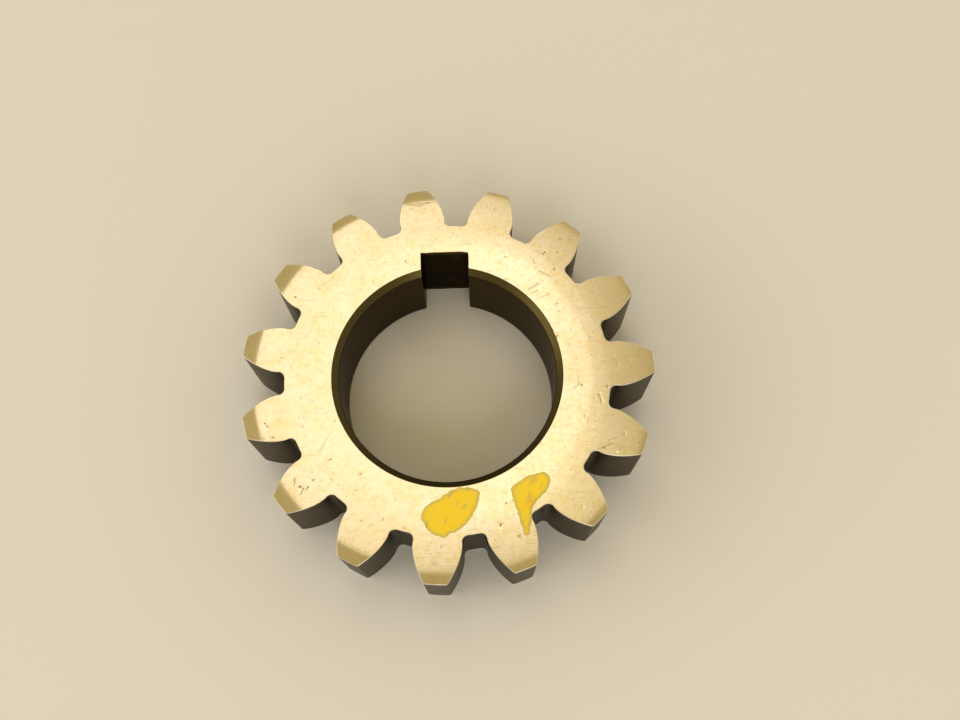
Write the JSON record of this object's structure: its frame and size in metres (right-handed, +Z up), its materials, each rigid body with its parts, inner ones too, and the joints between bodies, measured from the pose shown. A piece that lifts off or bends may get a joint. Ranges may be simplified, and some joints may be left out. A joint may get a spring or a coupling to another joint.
{
  "type": "spur gear",
  "caption": "Small steel spur gear with straight involute teeth, a plain chamfered bore and one rectangular keyway.",
  "frame": {"origin": "on the gear's axis, in the plane of its lower face, which it rests on", "axes": "+Z up along the gear's axis, +Y from the axis through the middle of the keyway, +X completes the right-handed frame"},
  "size_m": [0.0541, 0.0543, 0.0127],
  "materials": {
    "bare_steel": "bare machined, satin, lightly worn"
  },
  "bodies": {
    "root": {"spur_gear": "bare_steel"}
  },
  "joints": []
}
